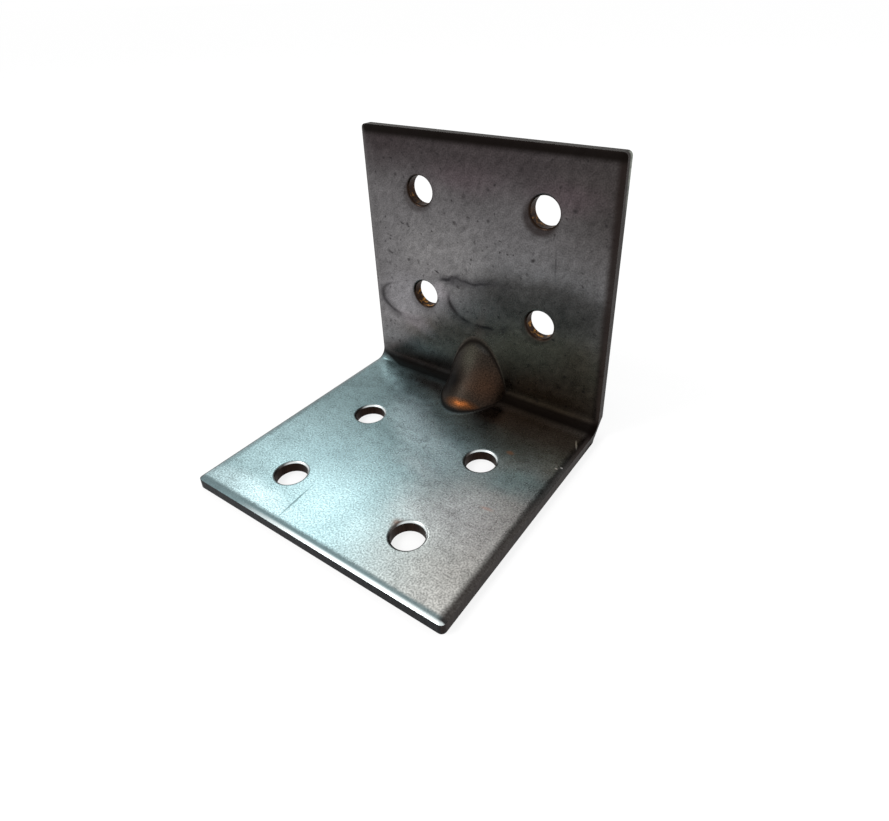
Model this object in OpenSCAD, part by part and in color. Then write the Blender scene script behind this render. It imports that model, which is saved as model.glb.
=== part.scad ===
// Angle bracket: one strip of zinc-coated steel, sheared, punched and folded square, with a round
// dart pressed into the fold to stiffen it. Millimetres, +Z up. It stands on its base leaf, with the
// upright leaf at the back (+Y). The origin is on the ground, in the middle of the base leaf.

/* [Strip] */
// Width of the strip, along the fold
strip_w = 50; // [44:0.5:90]
// Thickness of the steel
sheet_t = 2; // [1.5:0.1:3]
// Length of the base leaf, over the outside of the fold
base_len = 49; // [46:0.5:90]
// Height of the upright leaf, over the outside of the fold
upright_len = 50; // [46:0.5:90]
// Radius of the free corners of both leaves
corner_r = 0.8; // [0.5:0.1:4]

/* [Fold] */
// Radius of the inside of the fold
bend_r = 1.8; // [1:0.1:3]
// How far the outer side of the fold is drawn in at its two ends
draw_in = 0.45; // [0.2:0.05:1.2]

/* [Screw holes] */
// Diameter of every screw hole
hole_d = 5.3; // [3:0.1:7]
// Spacing of the base holes across the strip
base_hole_x = 24.7; // [20:0.1:30]
// Spacing of the base holes along the leaf
base_hole_y = 19.5; // [12:0.1:22]
// From the base leaf's free edge to its first row of holes
base_hole_edge = 9.2; // [7:0.1:12]
// How far the base holes sit off the middle of the strip
base_hole_shift = -0.3; // [-1:0.1:1]
// Spacing of the upright holes across the strip
upright_hole_x = 24.9; // [20:0.1:30]
// Spacing of the upright holes along the leaf
upright_hole_z = 20.1; // [12:0.1:22]
// From the upright leaf's free edge to its first row of holes
upright_hole_edge = 10.4; // [7:0.1:12]
// How far the upright holes sit off the middle of the strip
upright_hole_shift = 0.1; // [-1:0.1:1]

/* [Dart] */
// Radius across the back of the dart
dart_r = 6.5; // [4.5:0.1:8]
// How far the dart climbs the upright leaf from the inner corner
dart_up = 10.4; // [8:0.1:14]
// How far the dart runs out on the base leaf from the inner corner
dart_out = 9.2; // [8:0.1:14]
// How far the dart's ridge dips in the middle below a straight line
dart_dip = 1; // [0.4:0.1:1.6]
// How far the dart sits off the middle of the strip
dart_shift = -0.4; // [-1:0.1:1]

/* [Sheared edges] */
// Width of the rolled-over lip along the sheared edges, on the inner side
edge_lip_w = 1.4; // [0.6:0.1:2]
// Depth of that lip at the edge
edge_lip_d = 0.3; // [0.1:0.05:0.6]
// Width of the rolled-over lip round each punched hole
hole_lip_w = 0.5; // [0.3:0.1:1]
// Depth of that lip at the hole
hole_lip_d = 0.3; // [0.1:0.05:0.6]

/* [Hidden] */
$fn = 96;
// Spare length by which a cut runs past the surface that it cuts
over = 0.5;
back_y = base_len / 2;
// From an outer face to the line where the flat of the other leaf's inner face begins
fold_reach = sheet_t + bend_r;
base_flat = base_len - fold_reach;
upright_flat = upright_len - fold_reach;
dart_tilt = atan2(dart_out, -dart_up);
dart_span = dart_up + dart_out;
dart_chord = norm([dart_up, dart_out]);
// Radius of the dipped ridge line, seen from the side
ridge_r = (pow(dart_chord / 2, 2) + pow(dart_dip, 2)) / (2 * dart_dip);
// Half of the angle that the dart's bar is swept through, past the backs of both leaves
dart_past = 18;
dart_sweep = asin(dart_chord / 2 / ridge_r) + dart_past;
// From the sharp outer corner of the fold to the middle of its inside
draw_reach = sqrt(2) * fold_reach - bend_r;
draw_ball_r = (pow(draw_reach, 2) + pow(draw_in, 2)) / (2 * draw_in);

// What lies ahead of and above a rounded corner at the origin
module corner_block(depth, height, r) {
    translate([-depth, r]) square([depth, height - r]);
    translate([-depth, 0]) square([depth - r, height]);
    translate([-r, r]) circle(r);
}

// The folded strip seen from its end, Y to the right and Z up
module fold_section() {
    translate([back_y, 0])
        difference() {
            corner_block(base_len, upright_len, fold_reach);
            translate([-sheet_t, sheet_t])
                corner_block(base_len, upright_len, bend_r);
        }
}

module folded_strip() {
    rotate([90, 0, 90])
        linear_extrude(strip_w, center = true)
            fold_section();
}

// Leaf frame: X across the strip, Y from the fold to the free edge, Z out of the inner face
module on_base() {
    translate([0, back_y - fold_reach, sheet_t])
        mirror([0, 1, 0])
            children();
}

module on_upright() {
    translate([0, back_y - sheet_t, fold_reach])
        rotate([90, 0, 0])
            children();
}

// Section of the steel that shearing rolls away, with the edge at the origin, the sheet to the
// left and the inner face along the top
module lip_section(w, d) {
    roll_r = (pow(w, 2) + pow(d, 2)) / (2 * d);
    difference() {
        translate([-w, -d]) square([w + over, d + over]);
        translate([-w, -roll_r]) circle(roll_r);
    }
}

// Rolled-over lip along both sides and the free edge of a leaf
module leaf_lips(flat) {
    for (side = [0, 1])
        mirror([side, 0, 0])
            translate([strip_w / 2, flat + over, 0])
                rotate([90, 0, 0])
                    linear_extrude(flat + over)
                        lip_section(edge_lip_w, edge_lip_d);
    translate([-strip_w / 2 - over, flat, 0])
        rotate([90, 0, 90])
            linear_extrude(strip_w + 2 * over)
                lip_section(edge_lip_w, edge_lip_d);
}

// What is cut off to round the two free corners of a leaf
module leaf_corners(flat) {
    for (side = [0, 1])
        mirror([side, 0, 0])
            translate([strip_w / 2 - corner_r, flat - corner_r, -sheet_t - over])
                linear_extrude(sheet_t + 2 * over)
                    difference() {
                        square(corner_r + over);
                        circle(corner_r);
                    }
}

// One punched hole with its lip on the inner face
module punched_hole() {
    translate([0, 0, -sheet_t - over])
        cylinder(d = hole_d, h = sheet_t + 2 * over);
    rotate_extrude()
        translate([hole_d / 2, 0])
            mirror([1, 0])
                lip_section(hole_lip_w, hole_lip_d);
}

// Four holes in two rows, the first at its distance from the free edge
module leaf_holes(flat, edge, across, along, shift) {
    for (side = [-1, 1], row = [0, 1])
        translate([shift + side * across / 2, flat - edge - row * along, 0])
            punched_hole();
}

// Rolled-over lip at the two ends of the fold's inside
module fold_lips() {
    for (side = [0, 1])
        mirror([side, 0, 0])
            translate([0, back_y - fold_reach, fold_reach])
                rotate([0, 90, 0])
                    rotate_extrude()
                        translate([bend_r, strip_w / 2])
                            rotate(90)
                                lip_section(edge_lip_w, edge_lip_d);
}

// Hollows at the two ends of the fold, where bending draws the outer side in
module fold_draws() {
    for (side = [-1, 1])
        translate([side * (strip_w / 2 + draw_ball_r - draw_in), back_y, 0])
            sphere(draw_ball_r);
}

// Round-backed bar of the given radius that slopes from one leaf to the other along the dart's
// dipped ridge, swept about a line across the strip in front of the fold. The middle of its back
// is the ridge itself when the radius is the dart's own
module dart_bar(r) {
    translate([dart_shift, back_y - sheet_t - dart_out / 2, sheet_t + dart_up / 2])
        rotate([dart_tilt, 0, 0])
            translate([0, ridge_r - dart_dip, 0])
                rotate([0, 90, 0])
                    rotate([0, 0, -90 - dart_sweep])
                        rotate_extrude(angle = 2 * dart_sweep)
                            translate([ridge_r + dart_r, 0]) {
                                circle(r);
                                translate([0, -r]) square([dart_span, 2 * r]);
                            }
}

// The dart as it stands out inside the fold, sunk half a sheet into both leaves
module dart() {
    intersection() {
        dart_bar(dart_r);
        translate([-strip_w / 2, back_y - sheet_t / 2 - dart_span, sheet_t / 2])
            cube([strip_w, dart_span, dart_span]);
    }
}

module bracket() {
    color("silver")
        difference() {
            union() {
                folded_strip();
                dart();
            }
            dart_bar(dart_r - sheet_t);
            on_base() {
                leaf_lips(base_flat);
                leaf_corners(base_flat);
                leaf_holes(base_flat, base_hole_edge, base_hole_x, base_hole_y, base_hole_shift);
            }
            on_upright() {
                leaf_lips(upright_flat);
                leaf_corners(upright_flat);
                leaf_holes(upright_flat, upright_hole_edge, upright_hole_x, upright_hole_z,
                           upright_hole_shift);
            }
            fold_lips();
            fold_draws();
        }
}

bracket();
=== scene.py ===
from math import atan2, cos, hypot, pi, radians, sin, sqrt, tan

import bmesh
import bpy
from mathutils import Matrix, Vector


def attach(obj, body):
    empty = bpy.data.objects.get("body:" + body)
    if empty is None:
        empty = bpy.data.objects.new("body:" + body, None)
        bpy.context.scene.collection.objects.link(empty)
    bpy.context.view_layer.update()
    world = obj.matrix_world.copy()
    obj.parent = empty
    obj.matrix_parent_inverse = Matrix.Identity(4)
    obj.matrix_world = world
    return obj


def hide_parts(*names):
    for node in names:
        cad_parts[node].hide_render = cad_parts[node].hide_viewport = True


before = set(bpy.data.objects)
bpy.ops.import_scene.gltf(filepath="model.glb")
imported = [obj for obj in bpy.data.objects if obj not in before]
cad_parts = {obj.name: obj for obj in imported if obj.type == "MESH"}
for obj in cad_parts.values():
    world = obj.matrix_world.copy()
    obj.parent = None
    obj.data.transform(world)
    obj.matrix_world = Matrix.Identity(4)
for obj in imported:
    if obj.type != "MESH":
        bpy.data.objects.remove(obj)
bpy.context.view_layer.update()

# The camera: a short lens about 12 cm from the fold, in front of the angle, to its right and above.
# It is set about the fold's outside corner, and its optical centre lies off the picture's middle.
MM = 0.001
STRIP_W = 50 * MM
BASE_LEN = 49 * MM
BACK_Y = BASE_LEN / 2
CAMERA_TURN = 35.29
CAMERA_RISE = 30.65
CAMERA_ROLL = -1.64
CAMERA_REACH = 123.04 * MM
CAMERA_LEFT = 4.81 * MM
CAMERA_UP = 7.55 * MM
SENSOR_W = 36
PICTURE_W, PICTURE_H = 889, 821
FOCAL_PX = 606
CENTRE_PX = (461.45, 354.13)
CAMERA_NEAR = 5 * MM

turn, rise, roll = radians(CAMERA_TURN), radians(CAMERA_RISE), radians(CAMERA_ROLL)
backwards = Vector((sin(turn) * cos(rise), -cos(turn) * cos(rise), sin(rise)))
level = Vector((cos(turn), sin(turn), 0))
upwards = backwards.cross(level)
right = level * cos(roll) + upwards * sin(roll)
up = upwards * cos(roll) - level * sin(roll)
eye = Vector((0, BACK_Y, 0)) + backwards * CAMERA_REACH - right * CAMERA_LEFT + up * CAMERA_UP
bpy.ops.object.camera_add()
camera = bpy.context.object
camera.matrix_world = Matrix.Translation(eye) @ Matrix((right, up, backwards)).transposed().to_4x4()
camera.data.sensor_width = SENSOR_W
camera.data.lens = FOCAL_PX / PICTURE_W * SENSOR_W
camera.data.shift_x = (PICTURE_W / 2 - CENTRE_PX[0]) / PICTURE_W
camera.data.shift_y = (CENTRE_PX[1] - PICTURE_H / 2) / PICTURE_W
camera.data.clip_start = CAMERA_NEAR
bpy.context.scene.camera = camera

# The folded strip: zinc-coated steel sheet, sheared to a rectangle and folded square over a small
# radius. It starts as the base leaf, the upright leaf is drawn up from it, and the fold is rounded
# inside and out.
SHEET_T = 2 * MM
UPRIGHT_LEN = 50 * MM
BEND_R = 1.8 * MM
FOLD_R = SHEET_T + BEND_R
INSIDE_STEPS = 12
OUTSIDE_STEPS = 20
SAME_PLANE = radians(1)
TINY = 0.001 * MM


def choose(kind, test):
    """Selects the edges or faces whose middle passes the test, and nothing else."""
    bpy.ops.mesh.select_mode(type=kind)
    bpy.ops.mesh.select_all(action="DESELECT")
    shape = bmesh.from_edit_mesh(bpy.context.object.data)
    for part in {"EDGE": shape.edges, "FACE": shape.faces}[kind]:
        part.select_set(test(sum((v.co for v in part.verts), Vector()) / len(part.verts)))
    shape.select_flush_mode()
    bmesh.update_edit_mesh(bpy.context.object.data)


def slice_across(axis, places):
    """Cuts a loop of edges through all that shows of the mesh, at each place along an axis."""
    way = Vector([float(i == axis) for i in range(3)])
    for place in places:
        bpy.ops.mesh.select_all(action="SELECT")
        bpy.ops.mesh.bisect(plane_co=way * place, plane_no=way, threshold=TINY)


bpy.ops.object.select_all(action="DESELECT")
bpy.ops.mesh.primitive_cube_add(size=1, location=(0, 0, SHEET_T / 2))
bracket = bpy.context.object
bracket.name = "bracket_dressed"
bpy.ops.transform.resize(value=(STRIP_W, BASE_LEN, SHEET_T))
bpy.ops.object.transform_apply(location=True, rotation=False, scale=True)
bpy.ops.object.mode_set(mode="EDIT")
slice_across(1, [BACK_Y - SHEET_T])
choose("FACE", lambda at: at.z > SHEET_T - TINY and at.y > BACK_Y - SHEET_T)
bpy.ops.mesh.extrude_region_move(TRANSFORM_OT_translate={"value": (0, 0, UPRIGHT_LEN - SHEET_T)})
bpy.ops.mesh.select_all(action="SELECT")
bpy.ops.mesh.dissolve_limited(angle_limit=SAME_PLANE)
choose("EDGE", lambda at: hypot(at.y - BACK_Y + SHEET_T, at.z - SHEET_T) < TINY)
bpy.ops.mesh.bevel(offset=BEND_R, segments=INSIDE_STEPS, affect="EDGES")
choose("EDGE", lambda at: hypot(at.y - BACK_Y, at.z) < TINY)
bpy.ops.mesh.bevel(offset=FOLD_R, segments=OUTSIDE_STEPS, affect="EDGES")
bpy.ops.object.mode_set(mode="OBJECT")

# The screw holes: eight, punched from the inner face, each with a rolled lip there and a straight
# wall. One cutter is drawn down ring by ring, copied to each place and taken away from the leaves.
HOLE_R = 2.65 * MM
HOLE_LIP_W = 0.5 * MM
HOLE_LIP_D = 0.3 * MM
HOLE_LIP_STEPS = (0.85, 0.7, 0.55, 0.4, 0.25, 0.1, 0)
HOLE_SIDES = 96
HOLE_SPARE = 0.2 * MM
BASE_HOLES = dict(edge=9.2 * MM, across=24.7 * MM, along=19.5 * MM, shift=-0.3 * MM)
UPRIGHT_HOLES = dict(edge=10.4 * MM, across=24.9 * MM, along=20.1 * MM, shift=0.1 * MM)


def lip_drop(reach, wide, deep):
    """How far a rolled lip lies below the sheet's face, at a distance from the sheared edge."""
    roll_r = (wide ** 2 + deep ** 2) / (2 * deep)
    return roll_r - sqrt(roll_r ** 2 - max(wide - max(reach, 0), 0) ** 2)


def hole_places(holes):
    """The middles of a leaf's four holes, from the middle of its free edge."""
    return [(holes["shift"] + side * holes["across"] / 2, holes["edge"] + row * holes["along"])
            for side in (-1, 1) for row in (0, 1)]


bpy.ops.object.select_all(action="DESELECT")
bpy.ops.mesh.primitive_circle_add(vertices=HOLE_SIDES, radius=HOLE_R + HOLE_LIP_W, fill_type="NGON")
cutter = bpy.context.object
bpy.ops.object.mode_set(mode="EDIT")
rings = [(HOLE_R + step * HOLE_LIP_W, -lip_drop(step * HOLE_LIP_W, HOLE_LIP_W, HOLE_LIP_D))
         for step in HOLE_LIP_STEPS] + [(HOLE_R, -SHEET_T - HOLE_SPARE)]
wide, low = HOLE_R + HOLE_LIP_W, 0
for ring_r, ring_z in rings:
    bpy.ops.mesh.select_mode(type="FACE")
    bpy.ops.mesh.extrude_region_move(TRANSFORM_OT_translate={"value": (0, 0, ring_z - low)})
    bpy.ops.transform.resize(value=(ring_r / wide, ring_r / wide, 1))
    wide, low = ring_r, ring_z
choose("EDGE", lambda at: abs(at.z) < TINY)
bpy.ops.mesh.edge_face_add()
bpy.ops.mesh.extrude_region_move(TRANSFORM_OT_translate={"value": (0, 0, HOLE_SPARE)})
bpy.ops.mesh.select_all(action="SELECT")
bpy.ops.mesh.normals_make_consistent(inside=False)
bpy.ops.object.mode_set(mode="OBJECT")

on_base = Matrix.Translation((0, -BASE_LEN / 2, SHEET_T))
on_upright = (Matrix.Translation((0, BACK_Y - SHEET_T, UPRIGHT_LEN))
              @ Matrix.Rotation(radians(90), 4, "X") @ Matrix.Scale(-1, 4, (0, 1, 0)))
cutters = []
for leaf, holes in ((on_base, BASE_HOLES), (on_upright, UPRIGHT_HOLES)):
    for place in hole_places(holes):
        copy = bpy.data.objects.new("hole_cutter", cutter.data.copy())
        bpy.context.collection.objects.link(copy)
        copy.data.transform(leaf @ Matrix.Translation((*place, 0)))
        if leaf is on_upright:
            copy.data.flip_normals()
        cutters.append(copy)
bpy.data.objects.remove(cutter)
bpy.ops.object.select_all(action="DESELECT")
for copy in cutters:
    copy.select_set(True)
bpy.context.view_layer.objects.active = cutters[0]
bpy.ops.object.join()
cutter = bpy.context.object
bpy.ops.object.select_all(action="DESELECT")
bracket.select_set(True)
bpy.context.view_layer.objects.active = bracket
cut = bracket.modifiers.new("holes", "BOOLEAN")
cut.operation = "DIFFERENCE"
cut.solver = "EXACT"
cut.object = cutter
bpy.ops.object.modifier_apply(modifier=cut.name)
bpy.data.objects.remove(cutter)

# The sheared edges: the blade rolls the inner face's rim over into a lip before the steel breaks,
# and the corners are rounded off. Loops are cut beside the edges and the rim is bent down along
# them. Folding draws the outer side of the fold in at its two ends.
CORNER_R = 0.8 * MM
LIP_W = 1.4 * MM
LIP_D = 0.3 * MM
LIP_STEPS = (0.05, 0.15, 0.28, 0.45, 0.64, 0.82, 1, 1.06)
DRAW_IN = 0.45 * MM
DRAW_REACH = sqrt(2) * FOLD_R - BEND_R
DRAW_BALL_R = (DRAW_REACH ** 2 + DRAW_IN ** 2) / (2 * DRAW_IN)
DRAW_FADE = 4 * MM
FOLD_LEN = pi / 2 * (BEND_R + SHEET_T / 2)


def through_sheet(at):
    """The way from the inner to the outer face at a point, and its depth below the inner face."""
    ahead, height = BACK_Y - at.y, at.z
    if ahead >= FOLD_R:
        return Vector((0, 0, -1)), SHEET_T - height
    if height >= FOLD_R:
        return Vector((0, 1, 0)), SHEET_T - ahead
    spoke = Vector((0, FOLD_R - ahead, height - FOLD_R))
    return spoke.normalized(), spoke.length - BEND_R


def on_strip(at):
    """Where a point lay on the flat strip, in mm: across it, along it from the fold, and its depth."""
    ahead, height = BACK_Y - at.y, at.z
    if ahead >= FOLD_R:
        along = FOLD_R - ahead - FOLD_LEN / 2
    elif height >= FOLD_R:
        along = height - FOLD_R + FOLD_LEN / 2
    else:
        along = (atan2(FOLD_R - ahead, FOLD_R - height) / (pi / 2) - 0.5) * FOLD_LEN
    return Vector((at.x, along, through_sheet(at)[1])) / MM


def note(name, value_at):
    """Stores a number at each point of the bracket, for its finish to read."""
    layer = bracket.data.attributes.new(name, "FLOAT", "POINT")
    layer.data.foreach_set("value", [value_at(point.co) for point in bracket.data.vertices])


def from_edges(at):
    """Distances from a point to the nearer side edge and to the free edge of its leaf."""
    return STRIP_W / 2 - abs(at.x), min(BASE_LEN / 2 + at.y, UPRIGHT_LEN - at.z)


def near_hole(at):
    """Nearness to a hole's wall: 1 on the wall, and 0 where its lip meets the leaf's face."""
    on_leaf = (at.x, UPRIGHT_LEN - at.z) if at.z > FOLD_R else (at.x, BASE_LEN / 2 + at.y)
    holes = UPRIGHT_HOLES if at.z > FOLD_R else BASE_HOLES
    off = min(hypot(on_leaf[0] - x, on_leaf[1] - y) for x, y in hole_places(holes)) - HOLE_R
    return max(1 - max(off - TINY, 0) / HOLE_LIP_W, 0)


bpy.ops.object.mode_set(mode="EDIT")
for step in LIP_STEPS:
    slice_across(0, [STRIP_W / 2 - step * LIP_W, step * LIP_W - STRIP_W / 2])
    slice_across(1, [step * LIP_W - BASE_LEN / 2])
    slice_across(2, [UPRIGHT_LEN - step * LIP_W])
bpy.ops.object.mode_set(mode="OBJECT")
strip = bracket.data.attributes.new("strip", "FLOAT_VECTOR", "POINT")
strip.data.foreach_set("vector", [i for point in bracket.data.vertices for i in on_strip(point.co)])
note("lip", lambda at: max(1 - min(from_edges(at)) / LIP_W, 0))
note("hole", near_hole)
for point in bracket.data.vertices:
    beside, beyond = from_edges(point.co)
    inwards, depth = through_sheet(point.co)
    to_corner = hypot(BACK_Y - point.co.y, point.co.z)
    side = 1 if point.co.x > 0 else -1
    if beside < CORNER_R and beyond < CORNER_R:
        out_x, out_y = CORNER_R - beside, CORNER_R - beyond
        shrink = 1 - max(out_x, out_y) / hypot(out_x, out_y)
        point.co.x -= out_x * shrink * side
        if point.co.z < FOLD_R:
            point.co.y += out_y * shrink
        else:
            point.co.z -= out_y * shrink
    if depth < TINY:
        point.co += inwards * lip_drop(min(beside, beyond), LIP_W, LIP_D)
    if to_corner < DRAW_REACH:
        drawn = sqrt(DRAW_BALL_R ** 2 - to_corner ** 2) - DRAW_BALL_R + DRAW_IN
        point.co.x -= side * drawn * max(1 - beside / DRAW_FADE, 0)

# The dart: a round-nosed punch pressed into the fold from outside. It raises a round back across the
# inner corner, with a ridge that dips in the middle and a crease all round, and leaves a dent of its
# shape in the heel. A fine net is cut round the fold, and its points are pushed the punch's way.
DART_R = 6.5 * MM
DART_UP = 10.4 * MM
DART_OUT = 9.2 * MM
DART_DIP = 1 * MM
DART_X = -0.4 * MM
DART_STEEP = 74
DART_STEP = 2
DART_CREASE = 0.7 * MM
DENT_MOUTH = 1.2 * MM
GROOVE_W = 0.9 * MM
NET_STEP = 0.18 * MM
NET_SIDE = 8.4 * MM
NET_REACH = 13.4 * MM
FLANK_COLUMNS = 12
SHARP_FROM = radians(32)
dart_span = hypot(DART_UP, DART_OUT)
ridge_middle = Vector((DART_X, BACK_Y - SHEET_T - DART_OUT / 2, SHEET_T + DART_UP / 2))
press = Vector((0, -DART_UP, DART_OUT)) / dart_span
along_ridge = Vector((0, DART_OUT, DART_UP)) / dart_span
ridge_r = (dart_span ** 2 / 4 + DART_DIP ** 2) / (2 * DART_DIP)


def pressed_height(beside, along, radius):
    """Height of a round back beside and along the dart's ridge. Where it is steep, a straight flank
    carries on down."""
    flank = radius * sin(radians(DART_STEEP))
    below = DART_R - sqrt(radius ** 2 - min(beside, flank) ** 2)
    below += max(beside - flank, 0) * tan(radians(DART_STEEP))
    return ridge_r - DART_DIP - sqrt((ridge_r + below) ** 2 - along ** 2)


def blended(a, b, soft):
    """The larger of two heights, with the crease between them rounded over."""
    return max(a, b) + max(soft - abs(a - b), 0) ** 2 / (4 * soft)


def in_net(at):
    """Whether a point lies where the net is cut, on the dart and close round it."""
    return abs(at.x - DART_X) < NET_SIDE and BACK_Y - at.y < NET_REACH and at.z < NET_REACH


round_columns = [DART_R * sin(radians(i)) for i in range(DART_STEP, DART_STEEP, DART_STEP)]
flank_columns = [DART_R * sin(radians(DART_STEEP)) + i * NET_STEP / 2 for i in range(FLANK_COLUMNS)]
net_rows = [i * NET_STEP for i in range(1, int((NET_REACH - FOLD_R) / NET_STEP) + 1)]
bpy.ops.object.mode_set(mode="EDIT")
slice_across(0, [DART_X - NET_SIDE, DART_X + NET_SIDE])
slice_across(1, [BACK_Y - NET_REACH])
slice_across(2, [NET_REACH])
choose("FACE", in_net)
bpy.ops.mesh.hide(unselected=True)
slice_across(0, [DART_X + way * x for x in [0] + round_columns + flank_columns for way in (-1, 1)])
slice_across(1, [BACK_Y - FOLD_R - row for row in net_rows])
slice_across(2, [FOLD_R + row for row in net_rows])
bpy.ops.mesh.reveal(select=False)
bpy.ops.object.mode_set(mode="OBJECT")


def dart_heights(at):
    """Heights of a point and of the pressed sheet there, and how soft the crease between them is."""
    off = at - ridge_middle
    inner = through_sheet(at)[1] < SHEET_T / 2
    pressed = pressed_height(abs(off.x), off.dot(along_ridge), DART_R if inner else DART_R - SHEET_T)
    return off.dot(press), pressed, DART_CREASE if inner else DENT_MOUTH


def dart_nearness(at):
    """1 on the dart's back and in its dent, and 0 away from them."""
    height, pressed, soft = dart_heights(at)
    return min(max((pressed - height) / soft + 0.5, 0), 1) if in_net(at) else 0


def crease_nearness(at):
    """1 along the crease round the dart, and 0 away from it."""
    height, pressed, soft = dart_heights(at)
    return max(1 - abs(pressed - height) / GROOVE_W, 0) if in_net(at) else 0


note("dart", dart_nearness)
note("crease", crease_nearness)
for point in bracket.data.vertices:
    if in_net(point.co):
        height, pressed, soft = dart_heights(point.co)
        point.co += press * (blended(height, pressed, soft) - height)

bpy.ops.object.shade_smooth_by_angle(angle=SHARP_FROM)
weigh = bracket.modifiers.new("flat faces lead", "WEIGHTED_NORMAL")
weigh.keep_sharp = True
bpy.ops.object.modifier_apply(modifier=weigh.name)
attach(bracket, "root")
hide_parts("bracket")

# The finish: dull zinc coating on rolled sheet, a fine sparkling grain that weather has dulled. The base
# leaf is bluish and pale. The upright's inner face is painted dark as painted shade, with the rims of
# dried drops, and painted shade darkens the fold and the crease round the dart. The back and the
# underside are an even grey.
# A stain's reach through the sheet, in mm, and the range that a noise pattern keeps to.
ALL_DEPTHS = 1000
NOISE_SPREAD = (0.3, 0.7)


def linear(code):
    """Turns an sRGB hex colour into the linear one that a shader works in."""
    parts = [int(code[i:i + 2], 16) / 255 for i in (1, 3, 5)]
    return [c / 12.92 if c < 0.04045 else ((c + 0.055) / 1.055) ** 2.4 for c in parts] + [1]


def new_finish(name):
    """Starts a material with no nodes, and gives it and its tree."""
    material = bpy.data.materials.new(name)
    material.use_nodes = True
    material.node_tree.nodes.clear()
    return material, material.node_tree


def add(tree, kind, feeds=None, **settings):
    """Adds a node with its settings, and gives its sockets their values or links."""
    node = tree.nodes.new("ShaderNode" + kind)
    for name, value in settings.items():
        setattr(node, name, value)
    for socket, value in (feeds or {}).items():
        if isinstance(value, bpy.types.NodeSocket):
            tree.links.new(value, node.inputs[socket])
        else:
            node.inputs[socket].default_value = value
    return node


def maths(tree, operation, *values):
    """Adds a number that is worked out from one to three others."""
    return add(tree, "Math", dict(enumerate(values)), operation=operation).outputs[0]


def fade(tree, value, start, end, low=0, high=1, curve="LINEAR"):
    """Adds a number that goes from low to high while a value goes from start to end."""
    feeds = {"Value": value, "From Min": start, "From Max": end, "To Min": low, "To Max": high}
    return add(tree, "MapRange", feeds, interpolation_type=curve).outputs[0]


def mixed(tree, share, under, over):
    """Adds a colour that goes from one to another while a share goes from 0 to 1."""
    under, over = [linear(tint) if isinstance(tint, str) else tint for tint in (under, over)]
    return add(tree, "Mix", {0: share, 6: under, 7: over}, data_type="RGBA").outputs[2]


def noise(tree, place, size, detail):
    """Adds a noise pattern with lumps of a size in mm."""
    return add(tree, "TexNoise", {"Vector": place, "Scale": 1 / size, "Detail": detail}).outputs


def uneven(tree, colour, pattern, change):
    """Makes a colour lighter and darker with a pattern, by up to a share of itself."""
    level = maths(tree, "MULTIPLY_ADD", fade(tree, pattern, *NOISE_SPREAD, -1, 1), change, 1)
    return add(tree, "VectorMath", {0: colour, "Scale": level}, operation="SCALE").outputs[0]


def stained_and_shaded(tree, colour, spots, place):
    """Lays soft spots over a colour, in their order, each the same all through the sheet."""
    for middle, reach, lean, code, strength, soft in spots:
        spot = add(tree, "Mapping", {"Vector": place, "Location": (*middle, 0),
                                     "Rotation": (0, 0, radians(lean)), "Scale": (*reach, ALL_DEPTHS)},
                   vector_type="TEXTURE").outputs[0]
        spot = add(tree, "TexGradient", {0: spot}, gradient_type="SPHERICAL").outputs["Fac"]
        colour = mixed(tree, fade(tree, spot, 0, soft, 0, strength, "SMOOTHSTEP"), colour, code)
    return colour


# Dull zinc coating: a fine matt grain over rolled steel, with grains drawn a little coarser than the
# real ones so that they show. It gives a soft, blurred mirror with a sparkle, and clouds and strokes
# where hands and packing have rubbed it. Sizes of the patterns in mm, the strokes' stretch and turn,
# and the height of the bump in mm.
GRAIN_MM = 0.27
MOTTLE_MM = 1.6
CLOUD_MM = 7
STROKE_MM = 0.9
STROKE_STRETCH = (2, 0.8, 1)
STROKE_TURN = 50
BUMP_MM = 0.006
# How far the outlines of stains wander, and the size of the lumps that they wander by, in mm.
WANDER = 2.4
WANDER_MM = 4
HALF = (0.5, 0.5, 0.5)
# The flat strip, in mm: its edges, and where its finish changes from leaf to leaf at the fold.
SIDE_AT = 25
FRONT_AT = -47.4
TOP_AT = 48.4
FOLD_HALF = 1.5
BASE_ZINC = "#7E9598"
# The upright's zinc is painted dark, as painted shade for the dark reflections that it shows.
UPRIGHT_ZINC_PAINTED_DARK = "#6C6A6B"
# How much each pattern changes the tone, in the order grain, mottle, cloud and strokes.
BASE_CHANGES = (0.3, 0.14, 0.1, 0)
UPRIGHT_CHANGES = (0.18, 0.12, 0.1, 0.16)
OUTER_CHANGES = (0.12, 0.14, 0.14, 0.1)
DART_CHANGE = 0.4
# Roughness of the coating, how much rougher the dart is, and the mottle's share of the bump.
ROUGHNESS = (0.25, 0.32)
DART_ROUGHER = 0.2
MOTTLE_BUMP = 0.6
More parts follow.
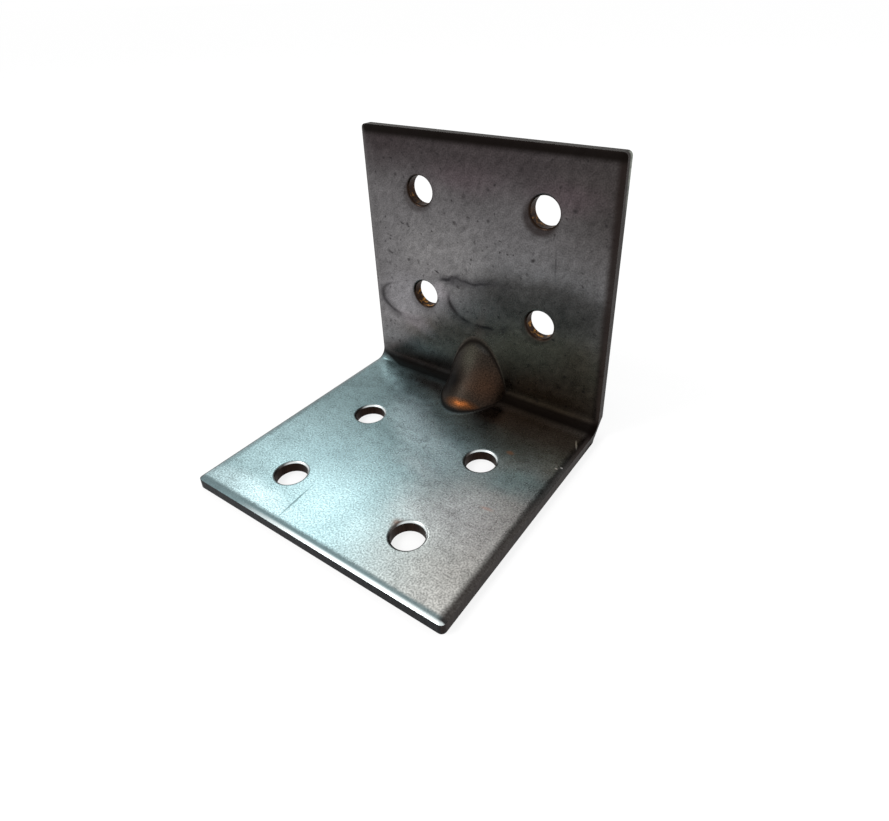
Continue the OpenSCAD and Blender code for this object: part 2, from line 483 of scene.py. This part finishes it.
# Stains, painted shade and painted light on the flat strip: middle, half sizes, turn, colour, strength
# and softness.
# The base leaf has negative places along the strip, and the upright leaf positive ones.
STAINS_AND_PAINTED_SHADE = (
    # On the base leaf; the dark browns by the fold are painted reflection of the dark upright leaf
    ((34, -38), (34, 44), 0, "#ACA9A4", 0.9, 0.7),
    ((-15, -13), (37, 25), 0, "#56686A", 0.8, 0.8),
    ((20, -20), (8, 5), 20, "#6F9DA2", 0.4, 0.8),
    ((15, -32), (13, 9), 0, "#C4C8C8", 0.5, 1),
    ((17, -4.4), (28, 11), 0, "#4A382E", 0.8, 0.7),
    ((6, -3), (28, 9), 0, "#332620", 0.8, 0.8),
    ((-17.5, -6.2), (7.5, 2.8), -30, "#A2C0C4", 0.75, 1),
    ((-10, -4.2), (10, 2.6), -18, "#2A201C", 0.7, 0.9),
    ((4.5, -17.6), (4.5, 2.6), -20, "#50666A", 0.8, 1),
    ((5, -25.5), (9, 3.6), -10, "#A8B4B6", 0.45, 1),
    ((-12, -10), (6, 2.4), -25, "#8CA4A8", 0.4, 1),
    ((-1, -18), (17, 6), -28, "#9DB2B5", 0.95, 0.8),
    ((-11, -31.5), (16, 9), 0, "#5E7377", 0.45, 1),
    ((12, -12.5), (20, 7), 0, "#33302C", 0.65, 1),
    ((25, -20), (5.5, 7), 0, "#4A5658", 0.4, 1),
    ((-17, -45), (16, 4), 0, "#B4CACD", 0.5, 0.8),
    ((9.3, -37.3), (1.4, 1.8), 0, "#5A4032", 0.9, 0.9),
    ((7.4, -7.2), (4.2, 2.6), 0, "#4A3C32", 0.6, 0.9),
    # On the upright leaf and in the fold; the broad spots are painted shade and painted light
    # Painted shade darkens the upright towards its top, its edges and the fold; painted light lightens
    # its lower left.
    ((0, 56), (80, 32), 0, "#241A1A", 1, 1),
    ((14, 9), (26, 17), 0, "#453B29", 0.75, 0.7),
    ((-6, 9), (16, 8), 0, "#54493E", 0.6, 0.7),
    ((13, 22), (22, 6), 0, "#36322F", 0.7, 0.6),
    ((-17, 16), (11, 7), 10, "#858386", 0.6, 0.7),
    ((-8, 27), (15, 9), 0, "#7A7878", 0.5, 0.7),
    ((-15, 11), (7, 2.2), -18, "#948C90", 0.4, 0.8),
    ((-8.5, 19), (3, 2.4), 0, "#A29CA0", 0.5, 0.8),
    ((-1.5, 22.7), (11, 1.7), 7, "#2C2A2E", 0.55, 0.9),
    ((-6.5, 22.2), (4, 1.3), 14, "#2C2A2E", 0.5, 0.9),
    ((-7.4, 22), (2.6, 0.5), 22, "#1E1C1F", 0.75, 0.8),
    ((-1, 22.7), (6.5, 0.45), 2, "#222023", 0.6, 0.8),
    ((0, 43.4), (50, 6), 0, "#362E30", 0.45, 1),
    ((-16, 2.6), (15, 4.6), 0, "#2A1E1A", 0.85, 0.9),
    ((-8, 2.4), (26, 4.4), 0, "#2E2622", 0.6, 0.9),
    ((27, 40), (21, 20), 0, "#36312F", 0.7, 0.9),
    ((-25, 28), (4.5, 24), 0, "#545252", 0.5, 1),
    ((-21, 47), (14, 7), 0, "#2E2627", 0.6, 0.9),
    ((-3, 41), (12, 4), 0, "#6A5A60", 0.25, 1),
    ((16, 40.5), (10, 4), 0, "#5A4A50", 0.35, 1),
)
# Scratches, rust specks, bright points and the shade round the upright's holes, listed as the
# stains are.
MARKS = (
    ((-7.1, -42.3), (0.24, 5.4), 5, "#3C5052", 0.75, 0.7),
    ((18.9, -27.5), (1.6, 0.5), 8, "#B89080", 0.5, 0.9),
    ((15.2, -14.3), (1, 0.7), 0, "#A0714F", 0.6, 0.8),
    ((23.7, -6.3), (0.2, 1.5), 26, "#D8D8D0", 0.9, 0.6),
    ((23.6, -13.7), (0.35, 0.2), 0, "#F0F0F0", 1, 0.6),
    ((24.2, -13), (0.3, 0.2), 0, "#F0F0F0", 1, 0.6),
    ((15, 29.8), (0.25, 4.6), 1, "#343234", 0.45, 0.8),
    ((-9.3, 23.2), (0.8, 0.2), -22, "#1E1C1E", 0.9, 0.6),
    ((11.9, 37), (3.8, 3.7), 0, "#241C1A", 0.75, 0.3),
    ((-12.9, 37.1), (3.7, 3.6), 0, "#241C1A", 0.5, 0.3),
    ((-12.8, 17), (3.6, 3.5), 0, "#241C1A", 0.3, 0.3),
    ((12, 17), (3.7, 3.6), 0, "#241C1A", 0.45, 0.3),
)
# Rims that dried drops left on the upright leaf: middle, half sizes, width, strength, and the side
# where they show, in degrees. A rim is drawn at a share of the spot's reach, and it is patchy, with
# patches of a size in mm.
DRIED_DROPS = (
    ((0.5, 18.9), (7.4, 4.7), 0.45, 0.9, 245),
    ((0.5, 18.9), (7.8, 5), 1.2, 0.45, 245),
    ((-17.5, 15.5), (6, 3.4), 0.4, 0.7, 190),
    ((-16.6, 15.3), (6.6, 3.8), 1.3, 0.55, 225),
)
DROP_RIM = "#221F21"
DROP_RIM_AT = 0.6
DROP_SIDE_FADE = 0.4
PATCH_MM = 5
PATCH_FADE = (0.34, 0.52)
# Pits and flecks, dark, 0.2 to 0.6 mm, mostly on the upright leaf: cells to a mm, and their radius as
# a share of a cell. Half of the cells are bare, and a tenth hold a full fleck.
FLECKS = ((0.45, 0.22), (0.9, 0.28))
FLECK = "#2A2728"
FLECKED_CELLS = (0.5, 0.9)
FLECKS_ON_BASE, FLECKS_ON_UPRIGHT = 0.12, 0.8
# Lips along the front, right, top and left edge, painted duller or darker than the leaves as painted
# shade on the rolled lips: how far from the edge the tone is full and where it ends, in mm, its colour
# and strength.
EDGE_LIP_SHADES = (
    (0.8, 1.4, "#5E7073", 0.85),
    (0.5, 1.7, "#241D1B", 0.9),
    (0.9, 2.1, "#14100E", 0.95),
    (0.15, 0.6, "#35302E", 0.8),
)
# The front lip carries a painted highlight, all but its left end: where from the edge and across, in mm.
FRONT_LIP_HIGHLIGHT = "#D2DADA"
HIGHLIGHT_FROM_EDGE = (0.3, 0.62)
HIGHLIGHT_ACROSS = (-15, -2)
# Painted shade in the fold, dark and matt: its middle, how far from it the shade is full and where it
# ends, in mm. It leaves the left end bare, along a slanting line.
FOLD_SHADE = "#090605"
FOLD_SHADE_MIDDLE = -0.8
FOLD_SHADE_FULL, FOLD_SHADE_END = 0.9, 4
FOLD_SHADE_STRENGTH = 0.96
BARE_SLANT = 1.6
BARE_END = (-1, 2.5)
# The dart's back, bare and brown on its right, with painted shade black on its left flank, painted light
# grey on its upper left and top, and a coppery nose that is partly rubbed rust colour and partly a
# painted highlight.
DART_BACK = "#2E2823"
DART_TONES_AND_PAINTED_LIGHT = (
    ((3.6, 0.5), (5, 8), 0, "#412F24", 0.9, 1),
    # Painted light on the upper left flank and the top, in this entry and the next.
    ((-1.6, 7), (3.2, 6), 0, "#434139", 0.85, 1),
    ((1.5, 10.5), (4.4, 2.6), 0, "#424240", 0.9, 1),
    # Painted shade on the dart's left flank.
    ((-3.7, -1), (3.8, 7), 0, "#0A0706", 1, 0.9),
    # The coppery nose: rust colour with a painted highlight.
    ((0.4, -7), (4.8, 2.3), 0, "#54341E", 1, 0.9),
    ((0.6, -6.8), (2.1, 1.1), 0, "#92552C", 0.9, 1),
)
# Painted shade in the crease round the dart, black and matt: its colour, where it starts, and its
# strength.
CREASE_SHADE = "#0B0807"
CREASE_FROM = 0.25
CREASE_STRENGTH = 0.9
# The lips of the holes, painted by the way they face: a painted highlight on the far side of the base
# leaf's holes, and painted shade elsewhere and on the upright's holes.
HOLE_LIP_SHADE, HOLE_LIP_HIGHLIGHT, UPRIGHT_HOLE_LIP_SHADE = "#4A4644", "#DCE2E2", "#241A14"
LIP_TURN = (-0.15, -0.45)
LIP_FADE = (0.15, 0.7)
# The outer side, which the photograph doesn't show: plain, with faint flecks, and a little darker in
# the dart's dent. It begins in the middle of the sheet, at a depth in mm.
OUTSIDE = "#8F9597"
DENT = "#6E7070"
OUTER_FLECK = "#4A4C4C"
OUTER_FLECKS = 0.7
MID_SHEET = (0.9, 1.1)

zinc, tree = new_finish("dull_zinc_coating")
place = add(tree, "Attribute", attribute_name="strip").outputs["Vector"]
across, along, deep = add(tree, "SeparateXYZ", {0: place}).outputs
on_upright_leaf = fade(tree, along, -FOLD_HALF, FOLD_HALF, curve="SMOOTHSTEP")
colour = mixed(tree, on_upright_leaf, BASE_ZINC, UPRIGHT_ZINC_PAINTED_DARK)

waver = noise(tree, place, WANDER_MM, 2)["Color"]
waver = add(tree, "VectorMath", {0: waver, 1: HALF}, operation="SUBTRACT").outputs[0]
waver = add(tree, "VectorMath", {0: waver, "Scale": WANDER}, operation="SCALE").outputs[0]
wavering = add(tree, "VectorMath", {0: place, 1: waver}, operation="ADD").outputs[0]
colour = stained_and_shaded(tree, colour, STAINS_AND_PAINTED_SHADE, wavering)

patchy = fade(tree, noise(tree, place, PATCH_MM, 1)["Fac"], *PATCH_FADE)
slightly = add(tree, "VectorMath", {0: waver, 1: HALF, 2: place}, operation="MULTIPLY_ADD").outputs[0]
for middle, reach, width, strength, lean in DRIED_DROPS:
    drop = add(tree, "Mapping", {"Vector": slightly, "Location": (*middle, 0),
                                 "Scale": (reach[0] / DROP_RIM_AT, reach[1] / DROP_RIM_AT, ALL_DEPTHS)},
               vector_type="TEXTURE").outputs[0]
    side = (cos(radians(lean)), sin(radians(lean)), 0)
    side = add(tree, "VectorMath", {0: drop, 1: side}, operation="DOT_PRODUCT").outputs["Value"]
    rim = add(tree, "TexGradient", {0: drop}, gradient_type="SPHERICAL").outputs["Fac"]
    rim = maths(tree, "ABSOLUTE", maths(tree, "SUBTRACT", rim, 1 - DROP_RIM_AT))
    rim = fade(tree, rim, 0, width * DROP_RIM_AT / reach[1], strength, 0)
    rim = maths(tree, "MULTIPLY", rim, patchy)
    rim = maths(tree, "MULTIPLY", rim, fade(tree, side, 0, DROP_SIDE_FADE))
    colour = mixed(tree, rim, colour, DROP_RIM)

share = fade(tree, on_upright_leaf, 0, 1, FLECKS_ON_BASE, FLECKS_ON_UPRIGHT)
for per_mm, size in FLECKS:
    cell = add(tree, "TexVoronoi", {"Vector": wavering, "Scale": per_mm}).outputs
    some = fade(tree, add(tree, "SeparateXYZ", {0: cell["Color"]}).outputs["X"], *FLECKED_CELLS)
    fleck = maths(tree, "MULTIPLY", fade(tree, cell["Distance"], size / 3, size, 1, 0), some)
    fleck = maths(tree, "MULTIPLY", fleck, share)
    colour = mixed(tree, fleck, colour, FLECK)

grain = noise(tree, place, GRAIN_MM, 0)["Fac"]
mottle = noise(tree, place, MOTTLE_MM, 3)["Fac"]
cloud = noise(tree, place, CLOUD_MM, 2)["Fac"]
strokes = add(tree, "Mapping", {"Vector": wavering, "Rotation": (0, 0, radians(STROKE_TURN)),
                                "Scale": STROKE_STRETCH}, vector_type="TEXTURE").outputs[0]
strokes = noise(tree, strokes, STROKE_MM, 3)["Fac"]
patterns = (grain, mottle, cloud, strokes)
for pattern, low, high in zip(patterns, BASE_CHANGES, UPRIGHT_CHANGES):
    colour = uneven(tree, colour, pattern, fade(tree, on_upright_leaf, 0, 1, low, high))

from_right = maths(tree, "SUBTRACT", SIDE_AT, across)
from_left = maths(tree, "ADD", SIDE_AT, across)
from_top = maths(tree, "SUBTRACT", TOP_AT, along)
from_front = maths(tree, "SUBTRACT", along, FRONT_AT)
# Painted shade on the rolled lips along the edges.
for where, (full, end, code, strength) in zip((from_front, from_right, from_top, from_left), EDGE_LIP_SHADES):
    colour = mixed(tree, fade(tree, where, full, end, strength, 0, "SMOOTHSTEP"), colour, code)

# Painted shade along the fold, leaving its left end bare.
from_fold = maths(tree, "ABSOLUTE", maths(tree, "SUBTRACT", along, FOLD_SHADE_MIDDLE))
painted_shade = fade(tree, from_fold, FOLD_SHADE_FULL, FOLD_SHADE_END, FOLD_SHADE_STRENGTH, 0, "SMOOTHSTEP")
covered = fade(tree, maths(tree, "MULTIPLY_ADD", along, BARE_SLANT, from_left), *BARE_END)
painted_shade = maths(tree, "MULTIPLY", painted_shade, covered)
colour = mixed(tree, painted_shade, colour, FOLD_SHADE)
# A painted highlight along the front lip.
painted_highlight = fade(tree, from_front, *HIGHLIGHT_FROM_EDGE, 1, 0)
painted_highlight = maths(tree, "MULTIPLY", painted_highlight, fade(tree, across, *HIGHLIGHT_ACROSS))
colour = mixed(tree, painted_highlight, colour, FRONT_LIP_HIGHLIGHT)
colour = stained_and_shaded(tree, colour, MARKS, place)

dart = add(tree, "Attribute", attribute_name="dart").outputs["Fac"]
dart_colour = uneven(tree, stained_and_shaded(tree, DART_BACK, DART_TONES_AND_PAINTED_LIGHT, wavering), grain, DART_CHANGE)
colour = mixed(tree, dart, colour, dart_colour)
crease = add(tree, "Attribute", attribute_name="crease").outputs["Fac"]
# Painted shade along the crease round the dart.
crease = fade(tree, crease, CREASE_FROM, 1, 0, CREASE_STRENGTH, "SMOOTHSTEP")
colour = mixed(tree, crease, colour, CREASE_SHADE)
painted_shade = maths(tree, "MULTIPLY", painted_shade, maths(tree, "SUBTRACT", 1, dart))
painted_shade = maths(tree, "MAXIMUM", painted_shade, crease)

hole = add(tree, "Attribute", attribute_name="hole").outputs["Fac"]
facing = add(tree, "SeparateXYZ", {0: add(tree, "TexCoord").outputs["Normal"]}).outputs
# Painted highlight and painted shade on the hole lips, by the way they face.
hole_lip = mixed(tree, fade(tree, facing["Y"], *LIP_TURN), HOLE_LIP_SHADE, HOLE_LIP_HIGHLIGHT)
hole_lip = mixed(tree, on_upright_leaf, hole_lip, UPRIGHT_HOLE_LIP_SHADE)
colour = mixed(tree, fade(tree, hole, *LIP_FADE), colour, hole_lip)

outside = fade(tree, deep, *MID_SHEET)
outer = mixed(tree, dart, OUTSIDE, DENT)
for pattern, change in zip(patterns, OUTER_CHANGES):
    outer = uneven(tree, outer, pattern, change)
outer = mixed(tree, maths(tree, "MULTIPLY", fleck, OUTER_FLECKS), outer, OUTER_FLECK)
colour = mixed(tree, outside, colour, outer)
painted_shade = maths(tree, "MULTIPLY", painted_shade, maths(tree, "SUBTRACT", 1, outside))

rough = fade(tree, mottle, *NOISE_SPREAD, *ROUGHNESS)
rough = maths(tree, "MULTIPLY_ADD", dart, DART_ROUGHER, rough)
height = maths(tree, "MULTIPLY_ADD", mottle, MOTTLE_BUMP, grain)
bump = add(tree, "Bump", {"Height": height, "Distance": BUMP_MM * MM, "Strength": 1}).outputs[0]
# The painted shade in the fold and the crease is matt, not metal.
metal = maths(tree, "SUBTRACT", 1, painted_shade)
shader = add(tree, "BsdfPrincipled", {"Base Color": colour, "Metallic": metal, "Roughness": rough,
                                      "Specular IOR Level": 0, "Normal": bump})
add(tree, "OutputMaterial", {"Surface": shader.outputs[0]})

# Sheared steel: the cut edges and the hole walls, bare steel gone brown, with drag marks of the blade
# down the wall. It gives a dark, uneven sheen, with painted golden glints on the walls of the upright's
# holes. Sizes in mm.
DRAG_MM = 0.4
DRAG_STRETCH = (1, 1, 0.2)
DRAG_BUMP_MM = 0.05
DRAG_CHANGE = 0.4
CUT_ROUGHNESS = 0.58
BASE_CUT, UPRIGHT_CUT = "#1D1E21", "#241F19"
BASE_WALL, UPRIGHT_WALL = "#2A1E18", "#2E2018"
# The cut along both sides of the strip, dark low down and paler near the upright's top in the sheet's
# outer half, as painted shade and painted light.
SIDE_CUT, PALE_CUT_PAINTED_LIGHT = "#2A2320", "#80847C"
SIDE_FROM, SIDE_FULL = SIDE_AT - 0.6, SIDE_AT - 0.2
PALE_UP = (38, 46)
PALE_DEEP = (0.9, 1.4)
# Painted golden glints, painted highlights, on the walls of the upright's holes where they face up:
# colour, size in mm, how sparse they are, and how they fade towards the upper row of holes.
PAINTED_GLINT = "#B4803C"
GLINT_MM = 0.8
GLINT_FADE = (0.52, 0.68)
GLINT_FACING = (-0.1, 0.5)
GLINT_UP = (24, 32, 1, 0.35)

sheared, tree = new_finish("sheared_steel_edge")
place = add(tree, "Attribute", attribute_name="strip").outputs["Vector"]
across, along, deep = add(tree, "SeparateXYZ", {0: place}).outputs
hole = add(tree, "Attribute", attribute_name="hole").outputs["Fac"]
on_upright_leaf = fade(tree, along, -FOLD_HALF, FOLD_HALF)
cut_colour = mixed(tree, on_upright_leaf, BASE_CUT, UPRIGHT_CUT)
on_side = fade(tree, maths(tree, "ABSOLUTE", across), SIDE_FROM, SIDE_FULL)
paler = maths(tree, "MULTIPLY", fade(tree, along, *PALE_UP), fade(tree, deep, *PALE_DEEP))
cut_colour = mixed(tree, on_side, cut_colour, mixed(tree, paler, SIDE_CUT, PALE_CUT_PAINTED_LIGHT))
wall_colour = mixed(tree, on_upright_leaf, BASE_WALL, UPRIGHT_WALL)
painted_glints = fade(tree, noise(tree, place, GLINT_MM, 2)["Fac"], *GLINT_FADE)
facing = add(tree, "SeparateXYZ", {0: add(tree, "TexCoord").outputs["Normal"]}).outputs
for share in (fade(tree, facing["Z"], *GLINT_FACING), fade(tree, along, *GLINT_UP), on_upright_leaf):
    painted_glints = maths(tree, "MULTIPLY", painted_glints, share)
wall_colour = mixed(tree, painted_glints, wall_colour, PAINTED_GLINT)
drag = add(tree, "Mapping", {"Vector": place, "Scale": DRAG_STRETCH}).outputs[0]
drag = noise(tree, drag, DRAG_MM, 3)["Fac"]
colour = uneven(tree, mixed(tree, hole, cut_colour, wall_colour), drag, DRAG_CHANGE)
bump = add(tree, "Bump", {"Height": drag, "Distance": DRAG_BUMP_MM * MM, "Strength": 1}).outputs[0]
shader = add(tree, "BsdfPrincipled", {"Base Color": colour, "Metallic": 1,
                                      "Roughness": CUT_ROUGHNESS, "Normal": bump})
add(tree, "OutputMaterial", {"Surface": shader.outputs[0]})

# A face is sheared steel when all its corners lie on a cut edge or on a hole's wall.
ON_CUT = 0.999
bracket.data.materials.clear()
bracket.data.materials.append(zinc)
bracket.data.materials.append(sheared)
lip_at = bracket.data.attributes["lip"].data
hole_at = bracket.data.attributes["hole"].data
for face in bracket.data.polygons:
    face.material_index = int(all(max(lip_at[i].value, hole_at[i].value) > ON_CUT for i in face.vertices))

# The studio: a plain white floor in a white room. A small strong lamp stands behind the bracket's
# left, as a window would, a weaker one above it, and a third one shines in from the front left.
FLOOR_R = 20
FLOOR_SIDES = 96
FLOOR_DROP = 0.05 * MM
PAPER = (0.98, 0.98, 0.98, 1)
WHITE = (1, 1, 1, 1)
PAPER_GLOW = 0.75
# Each lamp's name, the point that it is aimed at, the way to it, its distance, width and watts.
LAMPS = (
    ("window", (-5 * MM, -26 * MM, 2 * MM), (-0.57, 0.44, 0.69), 0.6, 0.14, 0.24),
    ("roof_light", (0, -24 * MM, 2 * MM), (-0.5, -0.03, 0.85), 0.6, 0.2, 0.12),
    ("front_light", (0, 0, 2 * MM), (-0.42, -0.49, 0.768), 0.6, 0.22, 1.15),
)
world = bpy.data.worlds.new("white_room")
bpy.context.scene.world = world
world.use_nodes = True
tree = world.node_tree
tree.nodes.clear()
back = add(tree, "Background", {"Color": WHITE, "Strength": 1})
add(tree, "OutputWorld", {"Surface": back.outputs[0]})

bpy.ops.object.select_all(action="DESELECT")
bpy.ops.mesh.primitive_circle_add(vertices=FLOOR_SIDES, radius=FLOOR_R, fill_type="NGON",
                                  location=(0, 0, -FLOOR_DROP))
floor = bpy.context.object
floor.name = "floor"
paper, tree = new_finish("white_paper_floor")
ray = add(tree, "LightPath").outputs
seen = maths(tree, "MAXIMUM", ray["Is Camera Ray"], ray["Is Glossy Ray"])
seen = maths(tree, "MAXIMUM", seen, ray["Is Transmission Ray"])
lit = add(tree, "BsdfDiffuse", {"Color": PAPER})
glow = add(tree, "Emission", {"Color": WHITE, "Strength": 1})
sheet = add(tree, "MixShader", {0: maths(tree, "MULTIPLY", seen, PAPER_GLOW), 1: lit.outputs[0],
                                2: glow.outputs[0]})
add(tree, "OutputMaterial", {"Surface": sheet.outputs[0]})
floor.data.materials.append(paper)

for name, aim, way, reach, size, power in LAMPS:
    way = Vector(way).normalized()
    bpy.ops.object.light_add(type="AREA", location=Vector(aim) + way * reach)
    lamp = bpy.context.object
    lamp.name = name
    lamp.rotation_euler = way.to_track_quat("Z", "Y").to_euler()
    lamp.data.shape = "DISK"
    lamp.data.size = size
    lamp.data.energy = power

bpy.context.scene.view_settings.view_transform = "Standard"
